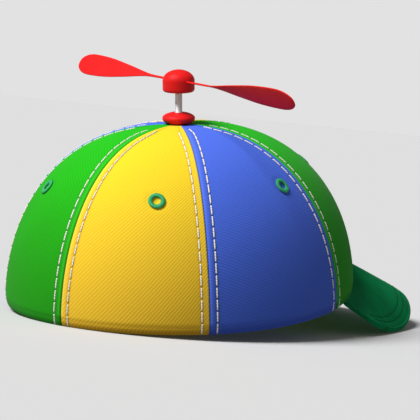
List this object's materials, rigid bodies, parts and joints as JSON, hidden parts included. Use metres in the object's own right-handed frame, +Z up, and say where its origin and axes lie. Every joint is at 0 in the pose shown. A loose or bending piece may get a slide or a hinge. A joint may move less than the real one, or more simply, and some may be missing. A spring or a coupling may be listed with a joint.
{
  "type": "propeller beanie",
  "caption": "Cloth cap of sewn panels with a drooping peak, raised eyelets, a button, and a propeller that spins on a short metal shaft above the crown.",
  "frame": {"origin": "middle of the cap's footprint, on the surface that it rests on", "axes": "+Z up; the peak points towards -Y; the wearer's left is +X"},
  "size_m": [0.176, 0.2576, 0.132],
  "materials": {
    "yellow_cloth": "cotton twill",
    "green_cloth": "cotton twill",
    "blue_cloth": "cotton twill",
    "peak_cloth": "smooth cotton over a stiff board",
    "eyelet_thread": "satin-stitched embroidery thread",
    "red_plastic": "moulded, semi-gloss",
    "shaft_metal": "satin drawn rod"
  },
  "bodies": {
    "cap": {"crown_panel_front_left": "yellow_cloth", "crown_panel_front_right": "green_cloth", "crown_panel_side_left": "blue_cloth", "crown_panel_side_right": "blue_cloth", "crown_panel_rear_left": "green_cloth", "crown_panel_rear_right": "yellow_cloth", "eyelet_front_left": "eyelet_thread", "eyelet_front_right": "eyelet_thread", "eyelet_side_left": "eyelet_thread", "eyelet_side_right": "eyelet_thread", "eyelet_rear_left": "eyelet_thread", "eyelet_rear_right": "eyelet_thread", "peak": "peak_cloth", "button": "red_plastic", "shaft": "shaft_metal"},
    "propeller": {"propeller_hub": "red_plastic", "propeller_blade_1": "red_plastic", "propeller_blade_2": "red_plastic"}
  },
  "joints": [
    {"name": "propeller_spin", "type": "hinge", "parent": "cap", "child": "propeller", "pos_m": [0, 0.04753, 0.11909], "axis": [0, 0.1726, 0.985], "continuous": true}
  ]
}
